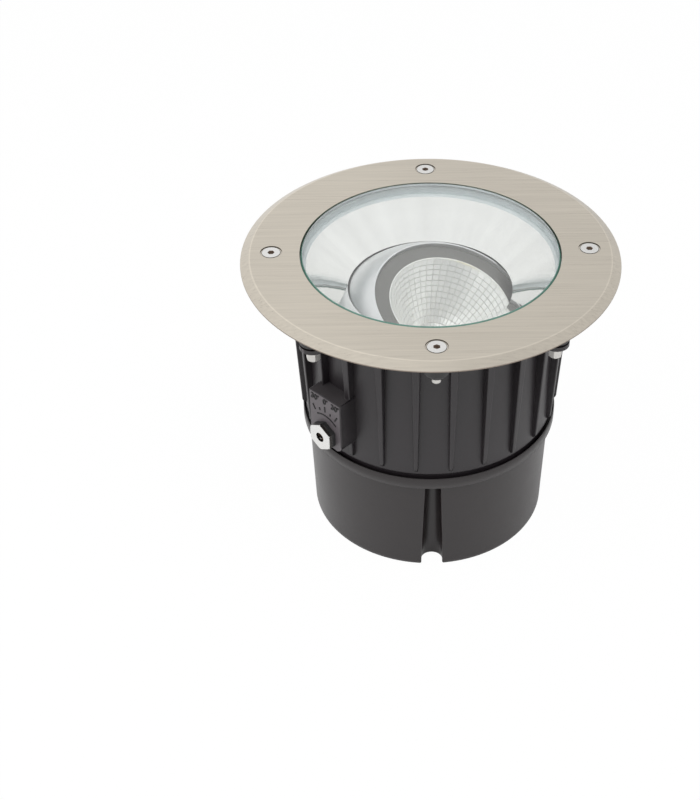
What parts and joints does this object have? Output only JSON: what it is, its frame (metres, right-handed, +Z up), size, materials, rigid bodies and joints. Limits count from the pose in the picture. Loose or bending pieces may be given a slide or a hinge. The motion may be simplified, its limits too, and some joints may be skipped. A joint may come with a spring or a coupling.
{
  "type": "in ground well light",
  "caption": "Round in-ground uplight with a flush glass, a leaning ball lamp worked from outside by a spindle, a ribbed housing and a driver base.",
  "frame": {"origin": "centre of the base's flat underside, on the axis of the light", "axes": "+Z up, the way the light shines; -Y to the front with the front groove; the adjuster points to -X -Y"},
  "size_m": [0.25, 0.25, 0.208],
  "materials": {
    "brushed_ring": "fine straight brushing",
    "bright_steel": "bright turned",
    "clear_glass": "clear, green at the edge",
    "silicone": "translucent grey silicone",
    "black_casting": "satin black powder coat",
    "charcoal_casting": "satin charcoal powder coat",
    "base_casting": "satin warm charcoal powder coat",
    "mirror_sheet": "polished, slightly hazy",
    "lamp_silver": "matt silver anodised",
    "bezel_grey": "satin grey",
    "facet_mirror": "bright faceted",
    "bare_aluminium": "plain",
    "dark_spindle": "dark bronzed",
    "bush_plastic": "plain bearing plastic",
    "board_white": "white",
    "emitter_yellow": "yellow silicone over the diodes",
    "driver_case": "pale grey",
    "gland_plastic": "black",
    "black_rubber": "matt"
  },
  "bodies": {
    "root": {"trim_ring": "brushed_ring", "ring_screws": "bright_steel", "glass_lens": "clear_glass", "glass_gasket": "silicone", "clamp_frame": "black_casting", "frame_bolts": "bright_steel", "frame_nuts": "bright_steel", "flange_seal": "black_rubber", "cone_reflector": "mirror_sheet", "body_housing": "charcoal_casting", "adjuster_gland_nut": "bright_steel", "adjuster_hex_seal": "black_rubber", "spindle_o_ring": "black_rubber", "pivot_bush": "bush_plastic", "base_housing": "base_casting", "base_seal": "black_rubber", "base_screws": "bright_steel", "floor_grommet": "black_rubber", "driver_tray": "bare_aluminium", "tray_screws": "bright_steel", "driver": "driver_case", "terminal_block": "board_white", "gland_body": "gland_plastic", "gland_lock_nut": "gland_plastic", "gland_seal": "black_rubber", "gland_cap": "gland_plastic"},
    "lamp": {"adjuster_spindle": "dark_spindle", "pivot_pin": "bright_steel", "lamp_shell": "lamp_silver", "lamp_bezel": "bezel_grey", "lamp_reflector": "facet_mirror", "led_board": "board_white", "led_emitter": "emitter_yellow", "led_holder": "board_white", "lamp_heatsink": "bare_aluminium", "lamp_yoke": "bare_aluminium", "yoke_screws": "bright_steel", "ear_screws": "bright_steel"}
  },
  "joints": [
    {"name": "lamp_tilt", "type": "hinge", "parent": "root", "child": "lamp", "pos_m": [0, 0, 0.1114], "axis": [0.7071, 0.7071, 0], "range_deg": [-48.9, 11.1]}
  ]
}
